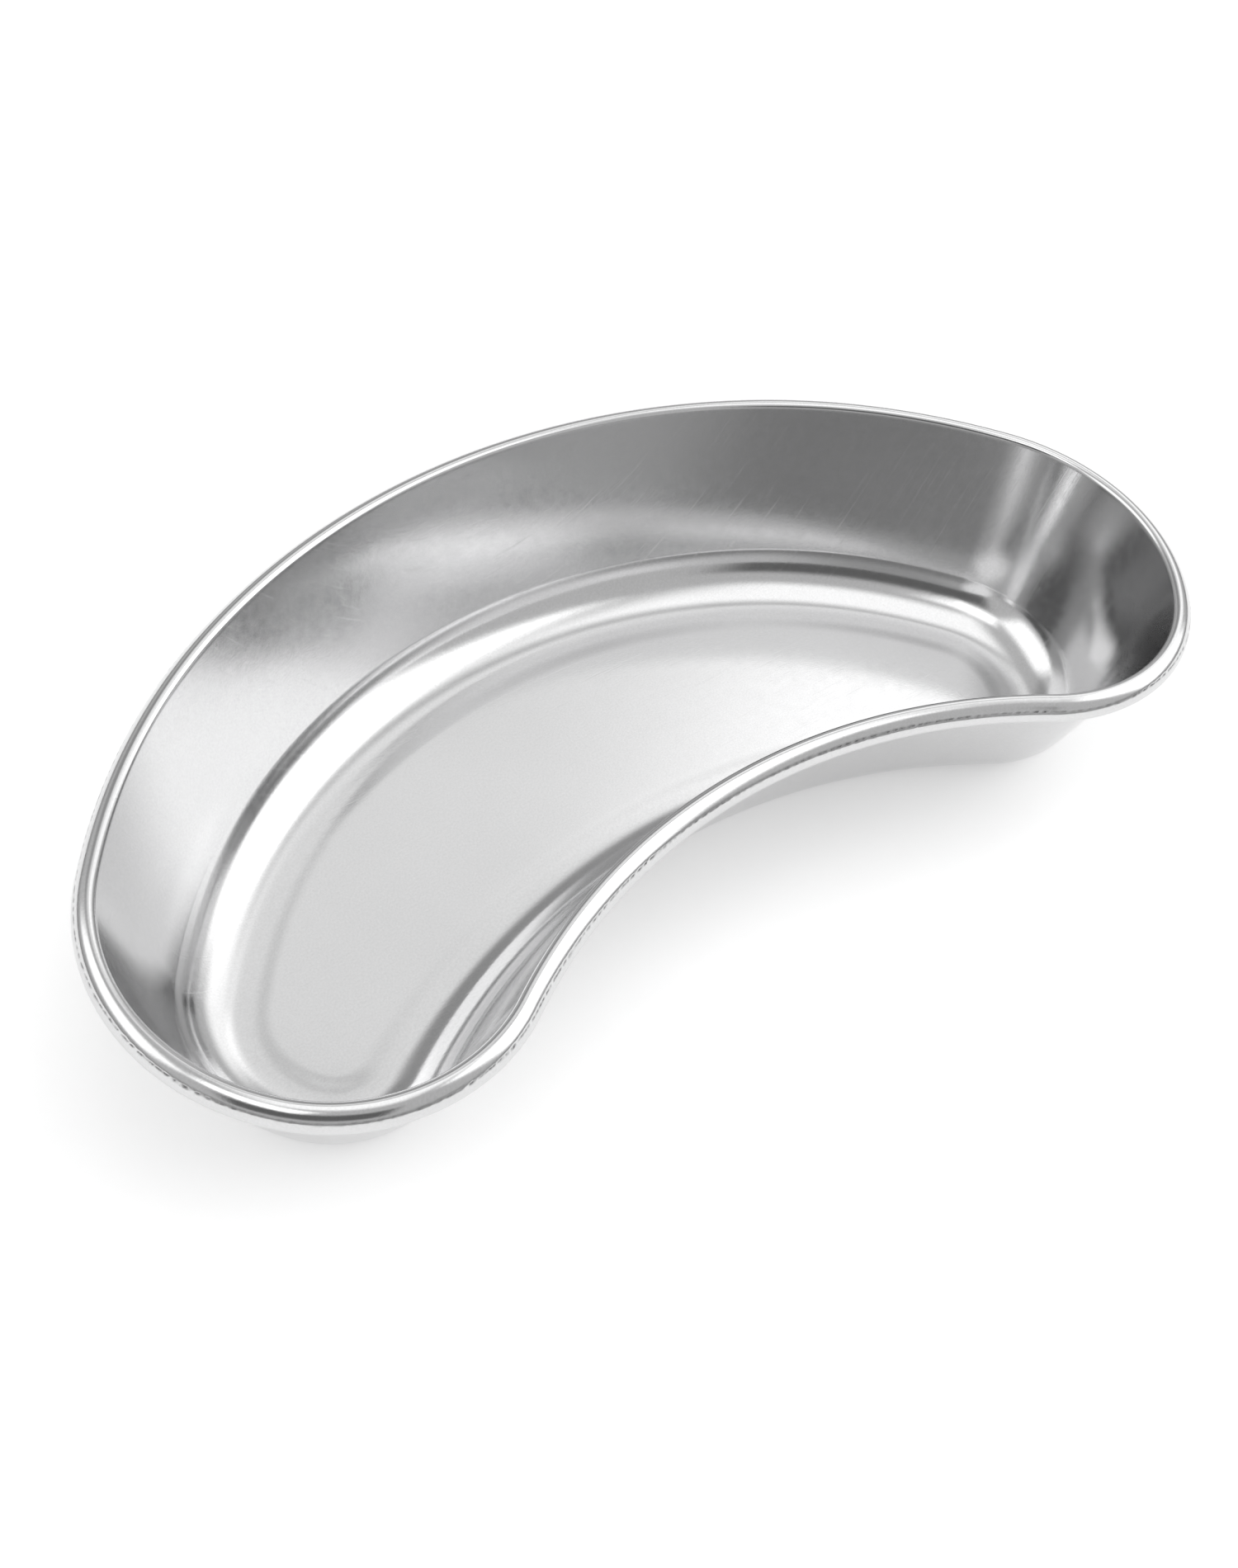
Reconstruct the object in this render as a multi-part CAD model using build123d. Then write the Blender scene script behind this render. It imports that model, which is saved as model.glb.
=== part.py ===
from build123d import *
import math
import os

# Kidney dish (emesis basin), drawn from one stainless sheet, with a curled rim
# closed around a stiffening wire.  Millimetres, +Z up.
# Origin: middle of the overall length and width, on the plane the dish rests on.
# X runs along the length; the convex side faces +Y, the waisted side faces -Y.

# ---- overall -------------------------------------------------------------
overall_length = 250.0      # outside of the rim, end to end
sheet = 0.70                # sheet thickness
rest_height = 43.0          # height of the wall's mouth line above the table

# ---- plan outline of the mouth line: tangent arcs, right-hand half ---------
# listed clockwise from the middle of the convex side: radius, turning angle
# (radii are ratios of one another; the chain is scaled to the overall length)
arc_back = (126.3, 26.5)        # middle of the convex side
arc_shoulder = (111.0, 27.1)    # shoulder
arc_end = (36.6, 80.2)          # end of the dish
arc_nub = (29.5, 77.9)          # nub beside the waist
# the waist arc closes the chain on the plane of symmetry

# ---- section ---------------------------------------------------------------
draft = 17.85               # wall slope from vertical, degrees
cove_radius = 14.0          # outside radius between wall and floor
ring_width = 1.3            # flat ring the dish stands on
pan_rise = 0.30             # floor pan pressed up above the ring
pan_step = 3.5              # width of the step up to the pan

# ---- curled rim --------------------------------------------------------------
bead_out = 2.33             # centre of the curl, outward of the mouth line
bead_drop = 2.00            # centre of the curl, below the mouth line
bead_long = 2.80            # half of the curl's long axis
bead_short = 1.80           # half of the curl's short axis
bead_end_radius = 1.40      # small radius of the oval
bead_tilt = 51.0            # long axis leans outward and down, degrees below level
curl_end_angle = -104.0     # where the raw edge stops, in the oval's own frame
wire_radius = 1.05          # stiffening wire

os.makedirs("parts", exist_ok=True)


def rad(a):
    return math.radians(a)


# ---- the oval's frame -------------------------------------------------------
bc = (bead_out, rest_height - bead_drop)
eu = (math.cos(rad(bead_tilt)), -math.sin(rad(bead_tilt)))     # long axis, out and down
ev = (math.sin(rad(bead_tilt)), math.cos(rad(bead_tilt)))      # short axis, out and up
a_, b_, rs = bead_long, bead_short, bead_end_radius
off = a_ - rs                                     # centres of the end arcs at +-off
rb = ((off * off) + (b_ * b_) - rs * rs) / (2 * (b_ - rs))     # side radius
side = rb - b_                                    # side arc centres at -+side
junction = math.degrees(math.atan2(side, off))    # angle where the arcs meet


def oval(u, v):
    return (bc[0] + u * eu[0] + v * ev[0], bc[1] + u * eu[1] + v * ev[1])


def around(cu, cv, r, ang):
    return oval(cu + r * math.cos(rad(ang)), cv + r * math.sin(rad(ang)))


# wall: its inner face is tangent to the oval's inner end
nw = (-math.cos(rad(draft)), math.sin(rad(draft)))             # towards the inside
nu = nw[0] * eu[0] + nw[1] * eu[1]
nv = nw[0] * ev[0] + nw[1] * ev[1]
wall_angle = math.degrees(math.atan2(nv, nu)) % 360            # in the oval's frame
touch_in = around(-off, 0, rs, wall_angle)
touch_out = around(-off, 0, rs - sheet, wall_angle)
line_in = touch_in[0] * nw[0] + touch_in[1] * nw[1]
line_out = line_in - sheet

# cove: centre at the radius above the table and inside the wall's outer face
cove_z = cove_radius
cove_d = (line_out + cove_radius - cove_z * nw[1]) / nw[0]


def cove(r, ang):
    return (cove_d + r * math.cos(rad(ang)), cove_z + r * math.sin(rad(ang)))


wall_foot_out = cove(cove_radius, -draft)
wall_foot_in = cove(cove_radius - sheet, -draft)

# step up from the ring to the pan: two equal arcs
ring_in = cove_d - ring_width
step_angle = 2 * math.degrees(math.atan2(pan_rise, pan_step))
step_radius = (pan_step ** 2 + pan_rise ** 2) / (4 * pan_rise)
pan_edge = ring_in - pan_step
blend = pan_edge - 1.2                             # a short flat strip of pan


def sheet_profile(place):
    """Closed outline of the sheet's section as a face.  place maps (d, z)
    (outward, up) to a point in the plane of revolution."""
    def P(p):
        return place(*p)

    def L(p, q):
        return Line(P(p), P(q))

    def A(p, m, q):
        return ThreePointArc(P(p), P(m), P(q))

    def arc(c, r, a0, a1):
        return A(around(*c, r, a0), around(*c, r, (a0 + a1) / 2), around(*c, r, a1))

    j = junction
    t = sheet
    edges = []
    # outside face of the curl, from the wall over the top and down, then under
    edges.append(arc((-off, 0), rs, wall_angle, 180 - j))
    edges.append(arc((0, -side), rb, 180 - j, j))
    edges.append(arc((off, 0), rs, j, -j))
    edges.append(arc((0, side), rb, -j, curl_end_angle))
    # raw edge
    edges.append(L(around(0, side, rb, curl_end_angle), around(0, side, rb - t, curl_end_angle)))
    # inside face of the curl back to the wall
    edges.append(arc((0, side), rb - t, curl_end_angle, -j))
    edges.append(arc((off, 0), rs - t, -j, j))
    edges.append(arc((0, -side), rb - t, j, 180 - j))
    edges.append(arc((-off, 0), rs - t, 180 - j, wall_angle))
    # outer face of the wall, cove, ring, step, pan
    edges.append(L(touch_out, wall_foot_out))
    edges.append(A(wall_foot_out, cove(cove_radius, (-draft - 90) / 2), cove(cove_radius, -90)))
    edges.append(L(cove(cove_radius, -90), (ring_in, 0)))
    s, r, h = step_angle, step_radius, step_angle / 2

    def lo(ang, z0, rr):
        return (ring_in - rr * math.sin(rad(ang)), z0 + r - rr * math.cos(rad(ang)))

    def hi(ang, z0, rr):
        return (pan_edge + rr * math.sin(rad(ang)), z0 + pan_rise - r + rr * math.cos(rad(ang)))

    edges.append(A(lo(0, 0, r), lo(h, 0, r), lo(s, 0, r)))
    edges.append(A(hi(s, 0, r), hi(h, 0, r), hi(0, 0, r)))
    edges.append(L((pan_edge, pan_rise), (blend, pan_rise)))
    edges.append(L((blend, pan_rise), (blend, pan_rise + t)))
    edges.append(L((blend, pan_rise + t), (pan_edge, pan_rise + t)))
    edges.append(A(hi(0, 0, r + t), hi(h, 0, r + t), hi(s, 0, r + t)))
    edges.append(A(lo(s, 0, r - t), lo(h, 0, r - t), lo(0, 0, r - t)))
    edges.append(L((ring_in, t), cove(cove_radius - t, -90)))
    edges.append(A(cove(cove_radius - t, -90), cove(cove_radius - t, (-draft - 90) / 2), wall_foot_in))
    edges.append(L(wall_foot_in, touch_in))
    return Face(Wire(edges))


wire_centre = oval(0.10, 0.0)


def wire_profile(place):
    c = place(*wire_centre)
    return Face(Wire([Edge.make_circle(wire_radius, Plane(c, z_dir=(0, 1, 0)))]))


# ---- plan: chain of tangent arcs --------------------------------------------
def chain():
    x = y = th = 0.0
    out = []
    for r, a in (arc_back, arc_shoulder, arc_end, arc_nub):
        cx, cy = x - r * math.sin(rad(th)), y - r * math.cos(rad(th))
        t1 = th + a
        out.append([cx, cy, r, 1, th, t1])
        x, y = cx + r * math.sin(rad(t1)), cy + r * math.cos(rad(t1))
        th = t1
    r = -x / math.sin(rad(th))
    cx, cy = x + r * math.sin(rad(th)), y + r * math.cos(rad(th))
    out.append([cx, cy, r, -1, th, 180.0])
    return out


def extent(arcs):
    """Largest x of the half chain, and its lowest and highest y."""
    xs, ys = [], []
    for cx, cy, r, sg, t0, t1 in arcs:
        for i in range(2001):
            t = rad(t0 + (t1 - t0) * i / 2000)
            xs.append(cx + sg * r * math.sin(t))
            ys.append(cy + sg * r * math.cos(t))
    return max(xs), min(ys), max(ys)


bead_reach = bead_out + off * eu[0] + rs
raw = chain()
xmax, _, _ = extent(raw)
k = (overall_length / 2 - bead_reach) / xmax
plan = [[cx * k, cy * k, r * k, sg, t0, t1] for cx, cy, r, sg, t0, t1 in raw]
_, ylo, yhi = extent(plan)
shift = -(ylo + yhi) / 2
plan = [[cx, cy + shift, r, sg, t0, t1] for cx, cy, r, sg, t0, t1 in plan]
back, shoulder, end, nub, waist = plan


def sector(make, arc, t0, t1):
    """Revolve the section about one arc's centre, between two directions."""
    cx, cy, r, sg = arc[:4]
    face = make(lambda d, z: Vector(r + sg * d, 0, z))
    if sg > 0:
        lo, hi = 90 - t1, 90 - t0
    else:
        lo, hi = 270 - t0, 270 - t1
    body = revolve(face, axis=Axis.Z, revolution_arc=hi - lo)
    return Pos(cx, cy, 0) * Rot(0, 0, lo) * body


def ring(make):
    pieces = [sector(make, back, -back[5], back[5])]
    for arc in (shoulder, end, nub):
        right = sector(make, arc, arc[4], arc[5])
        pieces += [right, mirror(right, about=Plane.YZ)]
    pieces.append(sector(make, waist, waist[4], 360 - waist[4]))
    return pieces


def plan_face(d, z):
    """Flat face inside the plan outline moved outward by d."""
    edges = []

    def arc(cx, cy, r, t0, t1, sg):
        def p(t):
            return Vector(cx + sg * r * math.sin(rad(t)), cy + sg * r * math.cos(rad(t)), z)
        return ThreePointArc(p(t0), p((t0 + t1) / 2), p(t1))

    cx, cy, r, sg, t0, t1 = back
    edges.append(arc(cx, cy, r + d, -t1, t1, 1))
    for cx, cy, r, sg, t0, t1 in (shoulder, end, nub):
        edges.append(arc(cx, cy, r + d, t0, t1, 1))
    cx, cy, r, sg, t0, t1 = waist
    edges.append(arc(cx, cy, r - d, t0, 360 - t0, -1))
    for cx, cy, r, sg, t0, t1 in (nub, end, shoulder):
        edges.append(arc(-cx, cy, r + d, -t1, -t0, 1))
    return Face(Wire(edges))


# ---- the drawn sheet ----------------------------------------------------------
pan = extrude(plan_face(blend, pan_rise), amount=sheet, dir=(0, 0, 1))
bowl = pan.fuse(*ring(sheet_profile))
bowl = bowl.clean()

# ---- the wire inside the curl ----------------------------------------------------
hoop = ring(wire_profile)
wire = hoop[0].fuse(*hoop[1:]).clean()

for name, shape in (("pressed_bowl", bowl), ("rim_wire", wire)):
    solids = shape.solids()
    box = shape.bounding_box()
    print(name, "solids", len(solids), "valid", shape.is_valid, "volume", round(shape.volume, 1),
          "min", [round(v, 3) for v in box.min], "max", [round(v, 3) for v in box.max])
    export_step(solids[0] if len(solids) == 1 else shape, "parts/" + name + ".step")
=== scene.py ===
import bpy
import bmesh
import math
import numpy as np
from mathutils import Matrix, Vector


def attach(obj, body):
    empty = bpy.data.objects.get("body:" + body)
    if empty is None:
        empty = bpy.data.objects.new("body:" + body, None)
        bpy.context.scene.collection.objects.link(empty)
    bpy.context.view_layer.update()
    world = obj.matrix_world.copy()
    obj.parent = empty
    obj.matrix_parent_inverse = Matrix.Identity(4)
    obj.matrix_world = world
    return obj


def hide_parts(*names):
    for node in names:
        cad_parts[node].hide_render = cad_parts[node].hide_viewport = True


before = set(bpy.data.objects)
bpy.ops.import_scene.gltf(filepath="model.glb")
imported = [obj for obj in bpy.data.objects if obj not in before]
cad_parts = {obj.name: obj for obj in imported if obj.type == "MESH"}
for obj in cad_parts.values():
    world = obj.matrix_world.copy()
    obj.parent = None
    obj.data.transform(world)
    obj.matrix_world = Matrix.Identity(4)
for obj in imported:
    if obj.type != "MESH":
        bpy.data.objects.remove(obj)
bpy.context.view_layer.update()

# ----------------------------------------------------------------------------
# Kidney dish, in metres, in the CAD frame: X along the length, +Y the convex
# side, Z up from the table.  Sizes below are millimetres and become metres in
# the mesh builder.
# ----------------------------------------------------------------------------
SHEET = 0.70
MOUTH_Z = 43.0
CHAIN = ((126.3, 26.5), (111.0, 27.1), (36.6, 80.2), (29.5, 77.9))
DRAFT = math.radians(17.85)
COVE = 14.0
RING = 1.3
PAN_RISE = 0.20
PAN_STEP = 4.6
BEAD = (2.33, 2.00, 2.80, 1.80, 1.40, 51.0)      # out, drop, long, short, end radius, tilt
CURL_END = -104.0
CREASE = 4.0                                      # degrees, soft crease where the wall meets the cove


# ---- plan outline: points, outward normals, spacing along the mouth line ----
def chain():
    x = y = th = 0.0
    out = []
    for r, a in CHAIN:
        cx, cy = x - r * math.sin(th), y - r * math.cos(th)
        t1 = th + math.radians(a)
        out.append([cx, cy, r, 1, th, t1])
        x, y = cx + r * math.sin(t1), cy + r * math.cos(t1)
        th = t1
    r = -x / math.sin(th)
    out.append([x + r * math.sin(th), y + r * math.cos(th), r, -1, th, math.pi])
    return out


def outline(count):
    """count points evenly spaced round the mouth line, clockwise from the
    middle of the convex side: positions, outward normals, signed curvature."""
    arcs = chain()
    reach = BEAD[0] + (BEAD[2] - BEAD[4]) * math.cos(math.radians(BEAD[5])) + BEAD[4]
    xm = max(cx + sg * r * math.sin(t0 + (t1 - t0) * i / 4000)
             for cx, cy, r, sg, t0, t1 in arcs for i in range(4001))
    k = (125.0 - reach) / xm
    arcs = [[cx * k, cy * k, r * k, sg, t0, t1] for cx, cy, r, sg, t0, t1 in arcs]
    ys = [cy + sg * r * math.cos(t0 + (t1 - t0) * i / 4000)
          for cx, cy, r, sg, t0, t1 in arcs for i in range(4001)]
    sh = -(min(ys) + max(ys)) / 2
    half = sum(r * abs(t1 - t0) for _, _, r, _, t0, t1 in arcs)
    s = np.arange(count) / count * 2 * half
    mirrored = s > half
    q = np.where(mirrored, 2 * half - s, s)
    P = np.zeros((count, 2))
    N = np.zeros((count, 2))
    C = np.zeros(count)
    done = 0.0
    for n, (cx, cy, r, sg, t0, t1) in enumerate(arcs):
        L = r * abs(t1 - t0)
        m = (q >= done) & ((q < done + L) | (n == len(arcs) - 1))
        t = t0 + (t1 - t0) * (q[m] - done) / L
        N[m] = np.stack([np.sin(t), np.cos(t)], -1)
        P[m] = np.array([cx, cy + sh]) + sg * r * N[m]
        C[m] = sg / r
        done += L
    P[mirrored, 0] *= -1
    N[mirrored, 0] *= -1
    # round off the jumps in curvature where the arcs meet
    w = max(3, int(count * 0.012)) | 1
    ker = np.hanning(w + 2)[1:-1]
    ker /= ker.sum()
    Cs = np.real(np.fft.ifft(np.fft.fft(C) * np.fft.fft(np.roll(np.pad(ker, (0, count - w)), -(w // 2)))))
    return P, N, Cs, s


# ---- section: closed loop of (d, z) in millimetres ----------------------------
def section():
    bo, bd, a, b, rs, tilt = BEAD
    tilt = math.radians(tilt)
    c = np.array([bo, MOUTH_Z - bd])
    eu = np.array([math.cos(tilt), -math.sin(tilt)])
    ev = np.array([math.sin(tilt), math.cos(tilt)])
    off = a - rs
    rb = (off * off + b * b - rs * rs) / (2 * (b - rs))
    side = rb - b
    j = math.degrees(math.atan2(side, off))
    nw = np.array([-math.cos(DRAFT), math.sin(DRAFT)])
    wa = math.degrees(math.atan2(nw @ ev, nw @ eu)) % 360

    def arc(cu, cv, r, a0, a1, n, last=False):
        t = np.radians(np.linspace(a0, a1, n + 1))
        if not last:
            t = t[:-1]
        return c + (cu + r * np.cos(t))[:, None] * eu + (cv + r * np.sin(t))[:, None] * ev

    ti = arc(-off, 0, rs, wa, wa, 1)[0]
    to = arc(-off, 0, rs - SHEET, wa, wa, 1)[0]
    line_out = ti @ nw - SHEET
    cz = COVE
    cd = (line_out + COVE - cz * nw[1]) / nw[0]
    g = math.degrees(DRAFT)

    def cove(r, a0, a1, n, last=False):
        t = np.radians(np.linspace(a0, a1, n + 1))
        if not last:
            t = t[:-1]
        return np.array([cd, cz]) + r * np.stack([np.cos(t), np.sin(t)], -1)

    fo = cove(COVE, -g, -g, 1)[0]
    gi = g + CREASE
    fi = cove(COVE - SHEET, -gi, -gi, 1)[0]
    ring = cd - RING
    edge = ring - PAN_STEP

    def line(p, q, n):
        t = np.linspace(0, 1, n + 1)[:-1, None]
        return np.asarray(p) * (1 - t) + np.asarray(q) * t

    def support(p, q, first, n, last):
        """line with a short first step (a crease) and last step"""
        p, q = np.asarray(p), np.asarray(q)
        L = math.hypot(*(q - p))
        t = np.concatenate([[0.0, first / L], np.linspace(0, 1, n + 1)[1:-1], [1 - last / L]])
        return p * (1 - t[:, None]) + q * t[:, None]

    def rise(lift, n):
        """soft S from the flat ring up to the pan"""
        t = np.linspace(0, 1, n + 1)[:-1]
        return np.stack([ring - PAN_STEP * t, lift + PAN_RISE * (0.5 - 0.5 * np.cos(math.pi * t))], -1)

    T = SHEET
    parts = [
        ("outer", arc(-off, 0, rs, wa, 180 - j, 10)),
        ("outer", arc(0, -side, rb, 180 - j, j, 15)),
        ("outer", arc(off, 0, rs, j, -j, 14)),
        ("under", arc(0, side, rb, -j, CURL_END, 7)),
        ("under", line(arc(0, side, rb, CURL_END, CURL_END, 1)[0],
                       arc(0, side, rb - T, CURL_END, CURL_END, 1)[0], 2)),
        ("hidden", arc(0, side, rb - T, CURL_END, -j, 6)),
        ("hidden", arc(off, 0, rs - T, -j, j, 7)),
        ("hidden", arc(0, -side, rb - T, j, 180 - j, 8)),
        ("hidden", arc(-off, 0, rs - T, 180 - j, wa, 6)),
        ("wall_out", line(to, fo, 7)),
        ("wall_out", cove(COVE, -g, -90, 16)),
        ("base", line((cd, 0), (ring, 0), 2)),
        ("base", rise(0.0, 6)),
        ("base", np.array([[edge, PAN_RISE]])),
        ("floor", np.array([[edge, PAN_RISE + T]])),
        ("floor", rise(T, 11)[:0:-1]),
        ("floor", line((ring, T), (cd, T), 2)),
        ("cove", cove(COVE - T, -90, -gi - 1.5, 28)),
        ("cove", cove(COVE - T, -gi - 1.5, -gi, 1)),
        ("wall", support(fi, ti, 0.35, 11, 0.5)),
    ]
    pts = np.vstack([p for _, p in parts])
    tag = sum(([n] * len(p) for n, p in parts), [])
    split = next(i for i in range(len(tag)) if tag[i] == "floor")
    return pts, tag, split


def make_mesh(name, verts, faces, smooth=True):
    me = bpy.data.meshes.new(name)
    me.from_pydata([tuple(v) for v in verts], [], faces)
    me.validate(clean_customdata=False)
    me.polygons.foreach_set("use_smooth", [smooth] * len(me.polygons))
    me.update()
    ob = bpy.data.objects.new(name, me)
    bpy.context.collection.objects.link(ob)
    return ob


def ripple(s, total, waves):
    """sum of whole-number waves round the rim, from (waves per turn, phase, size)"""
    return sum(c * np.sin(2 * math.pi * n * s / total + ph) for n, ph, c in waves)


def build_bowl():
    M = 1400
    P, N, C, S = outline(M)
    pts, tag, split = section()
    K = len(pts)
    total = S[-1] + S[1]
    d = np.broadcast_to(pts[:, 0], (M, K)).copy()
    z = np.broadcast_to(pts[:, 1], (M, K)).copy()

    # fine gathers where the sheet was rolled under, all pressed inwards
    c = np.array([BEAD[0], MOUTH_Z - BEAD[1]])
    rel = pts - c
    lift = np.degrees(np.arctan2(rel[:, 1] * 1.25, rel[:, 0]))
    roll = np.array([g in ("outer", "under") for g in tag])
    fine = ripple(S, total, ((331, 0.4, 1.0), (287, 2.1, 0.8), (419, 4.4, 0.7), (203, 1.3, 0.7), (149, 5.0, 0.5)))
    patch = 0.5 + 0.5 * np.tanh(1.3 * ripple(S, total, ((7, 0.3, 0.7), (11, 2.2, 0.6), (19, 4.0, 0.5), (31, 1.1, 0.4))) + 0.4)
    creep = ripple(S, total, ((23, 1.7, 2.2), (57, 0.2, 1.6), (83, 3.3, 1.0)))
    band = np.exp(-((lift[None, :] - 29.0 - creep[:, None]) / 8.0) ** 2) * roll[None, :]
    push = 0.034 * band * patch[:, None] * (1 + 0.45 * fine[:, None])
    push = np.clip(push, 0, 0.12)
    # painted reflection: a dark line put into the colour along the gathers, strongest where they are deep, standing in
    # for the dark band the curl mirrors
    painted_dark_mask = np.exp(-((lift[None, :] - 29.0 - creep[:, None]) / 5.5) ** 2) * roll[None, :]
    painted_dark_mask = np.clip(painted_dark_mask * (0.25 + patch[:, None]) * (0.9 + 0.6 * fine[:, None]), 0, 1)
    # and painted shade: a darker, dull line under the curled edge, all round
    painted_under_shade = np.array([g == "under" for g in tag])[None, :] * np.clip((-lift[None, :] - 60.0) / 40.0, 0, 1)
    painted_dark_mask = np.clip(painted_dark_mask + 0.5 * painted_under_shade, 0, 1)
    # very slight unevenness of the rolled edge as a whole
    sway = 0.018 * (1 + 0.33 * ripple(S, total, ((5, 0.8, 1.0), (9, 2.6, 0.9), (14, 4.9, 0.8))))
    push = push + np.clip(sway, 0, 0.05)[:, None] * (np.exp(-((lift[None, :] - 35.0) / 40.0) ** 2) * roll[None, :])
    ln = np.hypot(rel[:, 0], rel[:, 1])
    d -= push * rel[:, 0] / ln
    z -= push * rel[:, 1] / ln

    # the pressed walls are not perfectly true: long, shallow swells, the two
    # faces of the sheet together
    high = np.clip((pts[:, 1] - 9.0) / 34.0, 0, 1)
    belly = (np.sin(math.pi * high) ** 2) * np.array([g in ("wall", "wall_out") for g in tag])
    swell = ripple(S, total, ((3, 0.9, 0.05), (5, 2.9, 0.04), (8, 1.2, 0.02)))
    d += belly[None, :] * swell[:, None]

    X = np.zeros((M, K, 3))
    X[..., :2] = P[:, None, :] + d[..., None] * N[:, None, :]
    X[..., 2] = z
    i = np.arange(M)[:, None]
    k = np.array([q for q in range(K) if q != split - 1])[None, :]
    j, l = (i + 1) % M, (k + 1) % K
    quads = [np.stack([i * K + k, i * K + l, j * K + l, j * K + k], -1).reshape(-1, 4)]
    verts = [X.reshape(-1, 3)]
    caps = []
    base = M * K
    n = np.arange(M)
    m = (n + 1) % M
    rings = 6
    for row, under in ((split, False), (split - 1, True)):
        loop = X[:, row, :]
        x = np.clip(loop[:, 0] * 0.80, -68, 68)
        spine = np.stack([x, 12.5 - 0.0052 * x * x], -1)
        prev = n * K + row
        for r in range(1, rings + 1):
            w = (r / (rings + 1)) ** 0.9
            v = loop.copy()
            v[:, :2] = loop[:, :2] * (1 - w) + spine * w
            # the pan is a touch uneven, as a pressed sheet is
            if not under:
                v[:, 2] += 0.035 * min(1.0, r / 3) * (np.sin(v[:, 0] / 21.0 + 0.6) * np.cos(v[:, 1] / 17.0 + 0.3) - 0.4)
            verts.append(v)
            cur = base + n
            base += M
            q = np.stack([prev, cur, cur[m], prev[m]], -1)
            quads.append(q if under else q[:, ::-1])
            prev = cur
        caps.append((prev if under else prev[::-1]).tolist())
    V = np.vstack(verts) * np.array([0.99996, 0.9998, 0.9999]) / 1000.0
    faces = np.vstack(quads).tolist() + caps
    me = bpy.data.meshes.new("dish_bowl")
    me.from_pydata(V.tolist(), [], faces)
    # painted reflection and painted shade: the dark-line mask, stored as a point attribute for the material
    painted_darkening = np.zeros(len(V), np.float32)
    painted_darkening[:M * K] = painted_dark_mask.reshape(-1)
    me.attributes.new("painted_darkening", "FLOAT", "POINT").data.foreach_set("value", painted_darkening)
    me.polygons.foreach_set("use_smooth", np.ones(len(me.polygons), bool))
    bm = bmesh.new()
    bm.from_mesh(me)
    # the last rings run close together along the middle line
    bmesh.ops.triangulate(bm, faces=[f for f in bm.faces if len(f.verts) > 4])
    bmesh.ops.recalc_face_normals(bm, faces=bm.faces)
    bm.to_mesh(me)
    bm.free()
    me.update()
    ob = bpy.data.objects.new("dish_bowl", me)
    bpy.context.collection.objects.link(ob)
    return ob


bowl = build_bowl()
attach(bowl, "root")
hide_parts("pressed_bowl")


# ---- materials -----------------------------------------------------------------
class Nodes:
    """short hand for building a node tree"""

    def __init__(self, tree):
        self.t = tree
        tree.nodes.clear()

    def add(self, kind, **sockets):
        n = self.t.nodes.new(kind)
        for key, v in sockets.items():
            self.put(n, key.replace("_", " "), v)
        return n

    def put(self, n, key, v):
        sock = n.inputs[int(key[1:]) if key[0] == "i" and key[1:].isdigit() else key]
        if isinstance(v, bpy.types.NodeSocket):
            self.t.links.new(v, sock)
        else:
            sock.default_value = v

    def math(self, op, a, b=0.0, clamp=False):
        n = self.add("ShaderNodeMath")
        n.operation, n.use_clamp = op, clamp
        self.put(n, "i0", a)
        self.put(n, "i1", b)
        return n.outputs[0]

    def noise(self, where, scale, detail=2.0, rough=0.5):
        n = self.add("ShaderNodeTexNoise", Vector=where, Scale=scale, Detail=detail, Roughness=rough)
        return n.outputs["Fac"]

    def span(self, v, lo, hi, to_lo, to_hi):
        n = self.add("ShaderNodeMapRange")
        for key, x in zip(("Value", "From Min", "From Max", "To Min", "To Max"), (v, lo, hi, to_lo, to_hi)):
            self.put(n, key, x)
        return n.outputs[0]


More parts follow.
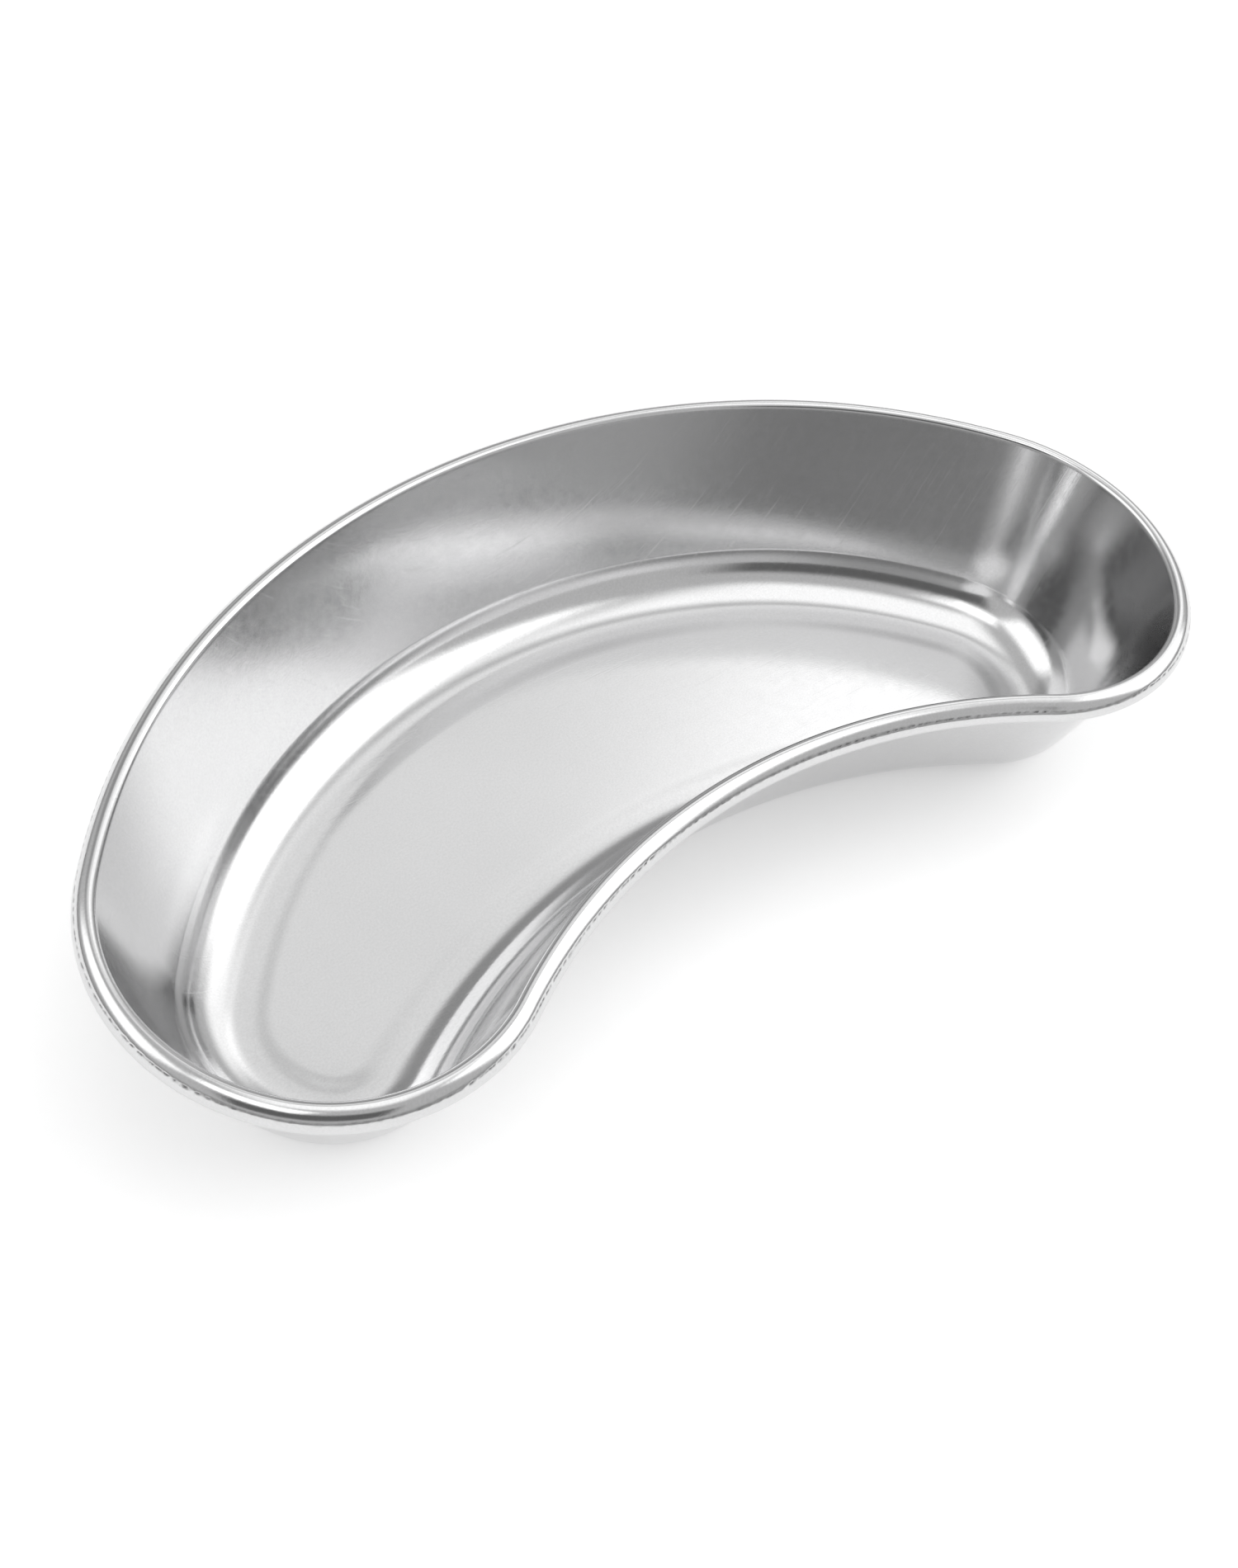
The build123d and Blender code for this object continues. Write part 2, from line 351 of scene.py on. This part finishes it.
def steel(name, tone, rough, grain, lines=0.0, painted_darkening=False):
    """tone: reflectance, rough: roughness, grain: bump height in metres of the
    satin grain, lines: bump height of the drawing lines"""
    m = bpy.data.materials.new(name)
    m.use_nodes = True
    k = Nodes(m.node_tree)
    out = k.add("ShaderNodeOutputMaterial")
    b = k.add("ShaderNodeBsdfPrincipled", Metallic=1.0)
    k.t.links.new(b.outputs[0], out.inputs[0])
    at = k.add("ShaderNodeTexCoord").outputs["Object"]
    fine = k.noise(at, 2300.0, 2.0, 0.6)
    mid = k.noise(at, 420.0, 3.0, 0.55)
    cloud = k.noise(at, 26.0, 3.0, 0.5)
    # fine hairlines: noise drawn out along the length
    stretch = k.add("ShaderNodeMapping", Vector=at, Scale=(60.0, 2600.0, 60.0), Rotation=(0.0, 0.0, 0.35))
    hair = k.noise(stretch.outputs[0], 1.0, 2.0, 0.5)
    hair = k.span(hair, 0.62, 0.74, 0.0, 1.0)
    # reflectance: faint mottling and grain
    t = k.math("ADD", k.span(cloud, 0.3, 0.7, tone - 0.015, tone + 0.015), k.span(fine, 0.3, 0.7, -0.022, 0.022))
    painted_dark_amount = None
    # painted reflection and painted shade: the colour is darkened (and roughened) along the dark line in the gathers
    # and under the curl
    if painted_darkening:
        mark = k.add("ShaderNodeAttribute")
        mark.attribute_name = "painted_darkening"
        dark_breakup = k.span(k.noise(at, 1500.0, 3.0, 0.7), 0.35, 0.62, 0.35, 1.0)
        painted_dark_amount = k.math("MULTIPLY", mark.outputs["Fac"], dark_breakup, clamp=True)
        t = k.math("MULTIPLY", t, k.span(painted_dark_amount, 0.0, 1.0, 1.0, 0.10))
    col = k.add("ShaderNodeCombineColor")
    for key, f in (("Red", 1.0), ("Green", 1.0), ("Blue", 1.004)):
        k.put(col, key, k.math("MULTIPLY", t, f))
    k.put(b, "Base Color", col.outputs[0])
    # roughness: satin grain, worn smoother in soft patches, dulled by hairlines
    r = k.math("ADD", k.span(mid, 0.3, 0.7, rough - 0.02, rough + 0.02), k.span(cloud, 0.35, 0.65, -0.018, 0.018))
    r = k.math("ADD", r, k.math("MULTIPLY", hair, 0.05), clamp=True)
    if painted_dark_amount is not None:
        r = k.math("ADD", r, k.math("MULTIPLY", painted_dark_amount, 0.25), clamp=True)
    k.put(b, "Roughness", r)
    h = k.math("ADD", k.math("MULTIPLY", fine, grain), k.math("MULTIPLY", mid, grain * 1.3))
    h = k.math("SUBTRACT", h, k.math("MULTIPLY", hair, grain * 0.5))
    if lines:
        rings = k.add("ShaderNodeMapping", Vector=at, Scale=(900.0, 900.0, 5200.0))
        h = k.math("ADD", h, k.math("MULTIPLY", k.noise(rings.outputs[0], 1.0, 1.0), lines))
    bump = k.add("ShaderNodeBump", Height=h, Strength=1.0, Distance=1.0)
    k.put(b, "Normal", bump.outputs[0])
    return m


satin = steel("satin_stainless", 0.62, 0.130, 0.0000042, painted_darkening=True)
bowl.data.materials.clear()
bowl.data.materials.append(satin)
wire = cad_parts["rim_wire"]
drawn = steel("drawn_wire", 0.50, 0.32, 0.0000030, 0.000004)
if not wire.material_slots:
    wire.data.materials.append(drawn)
for slot in wire.material_slots:
    slot.material = drawn


# ---- camera ----------------------------------------------------------------------
F_PX, E, A, ROLL, D, U0, V0 = 2319.476, 50.7502, -45.0725, 10.2609, 412.665, 734.425, 945.611
e, a, r = (math.radians(v) for v in (E, A, ROLL))
back = Vector((math.sin(a) * math.cos(e), -math.cos(a) * math.cos(e), math.sin(e)))
right = (-back).cross(Vector((0, 0, 1))).normalized()
up = right.cross(-back)
rr = math.cos(r) * right + math.sin(r) * up
uu = -math.sin(r) * right + math.cos(r) * up
ox, oy = (U0 - 750) / F_PX * D, -(V0 - 950) / F_PX * D
pos = (-ox * rr - oy * uu + D * back) / 1000.0
cam = bpy.data.cameras.new("camera")
cam.sensor_width = 36.0
cam.lens = F_PX * 36.0 / 1900.0
cam.clip_start, cam.clip_end = 0.01, 50
co = bpy.data.objects.new("camera", cam)
bpy.context.collection.objects.link(co)
co.matrix_world = Matrix(((rr.x, uu.x, back.x, pos.x), (rr.y, uu.y, back.y, pos.y),
                          (rr.z, uu.z, back.z, pos.z), (0, 0, 0, 1)))
bpy.context.scene.camera = co


# ---- floor and light ----------------------------------------------------------------
def plane(name, size, z):
    n = 24
    v = [((i / n - .5) * size, (j / n - .5) * size, z / 1000.0) for j in range(n + 1) for i in range(n + 1)]
    f = [(j * (n + 1) + i, j * (n + 1) + i + 1, (j + 1) * (n + 1) + i + 1, (j + 1) * (n + 1) + i)
         for j in range(n) for i in range(n)]
    return make_mesh(name, v, f)


floor = plane("floor", 40.0, -0.05)
fm = bpy.data.materials.new("floor_white")
fm.use_nodes = True
fb = fm.node_tree.nodes["Principled BSDF"]
fb.inputs["Base Color"].default_value = (0.93, 0.93, 0.93, 1)
fb.inputs["Roughness"].default_value = 0.85
fb.inputs["Emission Color"].default_value = (1, 1, 1, 1)
fb.inputs["Emission Strength"].default_value = 0.27
floor.data.materials.append(fm)

# surround of a white studio: pale grey all round, a softbox on each side, one
# overhead, and the darker gaps behind the dish and on the camera's side.  Each
# row is azimuth, elevation, half width, half height, edge softness (tangents of
# angles) and strength against the even grey.
EVEN = 0.66
PANELS = {
    "right_softbox": (332, 37, 0.36, 0.46, 0.12, 1.50),
    "back_right_softbox": (14, 42, 0.33, 0.24, 0.14, 0.82),
    "left_softbox": (142, 36, 0.42, 0.28, 0.11, 1.10),
    "overhead": (315, 86, 0.34, 0.34, 0.14, 0.90),
    "back_ceiling": (50, 53, 0.24, 0.19, 0.09, 0.42),
    "front_softbox": (198, 56, 0.26, 0.15, 0.07, 1.40),
    "camera_side_gap": (228, 34, 0.55, 0.24, 0.10, -0.50),
    "back_gap": (76, 34, 0.40, 0.22, 0.10, -0.26),
}
world = bpy.data.worlds.new("studio")
bpy.context.scene.world = world
world.use_nodes = True
k = Nodes(world.node_tree)
sky = k.add("ShaderNodeBackground")
k.t.links.new(sky.outputs[0], k.add("ShaderNodeOutputWorld").inputs[0])
look = k.add("ShaderNodeTexCoord").outputs["Generated"]


def dot(v):
    n = k.add("ShaderNodeVectorMath")
    n.operation = "DOT_PRODUCT"
    k.put(n, "i0", look)
    k.put(n, "i1", v)
    return n.outputs["Value"]


def edge(v, half, soft):
    n = k.add("ShaderNodeMapRange")
    n.interpolation_type = "SMOOTHSTEP"
    for key, x in zip(("Value", "From Min", "From Max", "To Min", "To Max"),
                      (k.math("ABSOLUTE", v), half - soft, half + soft, 1.0, 0.0)):
        k.put(n, key, x)
    return n.outputs[0]


height = dot((0.0, 0.0, 1.0))
total = k.span(height, 0.04, 0.28, EVEN - 0.30, EVEN)
for az, el, w, h, soft, power in PANELS.values():
    az, el = math.radians(az), math.radians(el)
    ahead = dot((math.cos(el) * math.cos(az), math.cos(el) * math.sin(az), math.sin(el)))
    facing = k.math("MAXIMUM", ahead, 0.05)
    x = k.math("DIVIDE", dot((-math.sin(az), math.cos(az), 0.0)), facing)
    y = k.math("DIVIDE", dot((-math.sin(el) * math.cos(az), -math.sin(el) * math.sin(az), math.cos(el))), facing)
    m = k.math("MULTIPLY", edge(x, w, soft), edge(y, h, soft))
    m = k.math("MULTIPLY", m, k.math("GREATER_THAN", ahead, 0.1))
    total = k.math("ADD", k.math("MULTIPLY", m, power), total)
k.put(sky, "Strength", k.math("MAXIMUM", total, 0.05))
k.put(sky, "Color", (1.0, 1.0, 1.0, 1.0))
bpy.context.scene.view_settings.view_transform = "Standard"
bpy.context.scene.cycles.max_bounces = 14
bpy.context.scene.cycles.glossy_bounces = 10
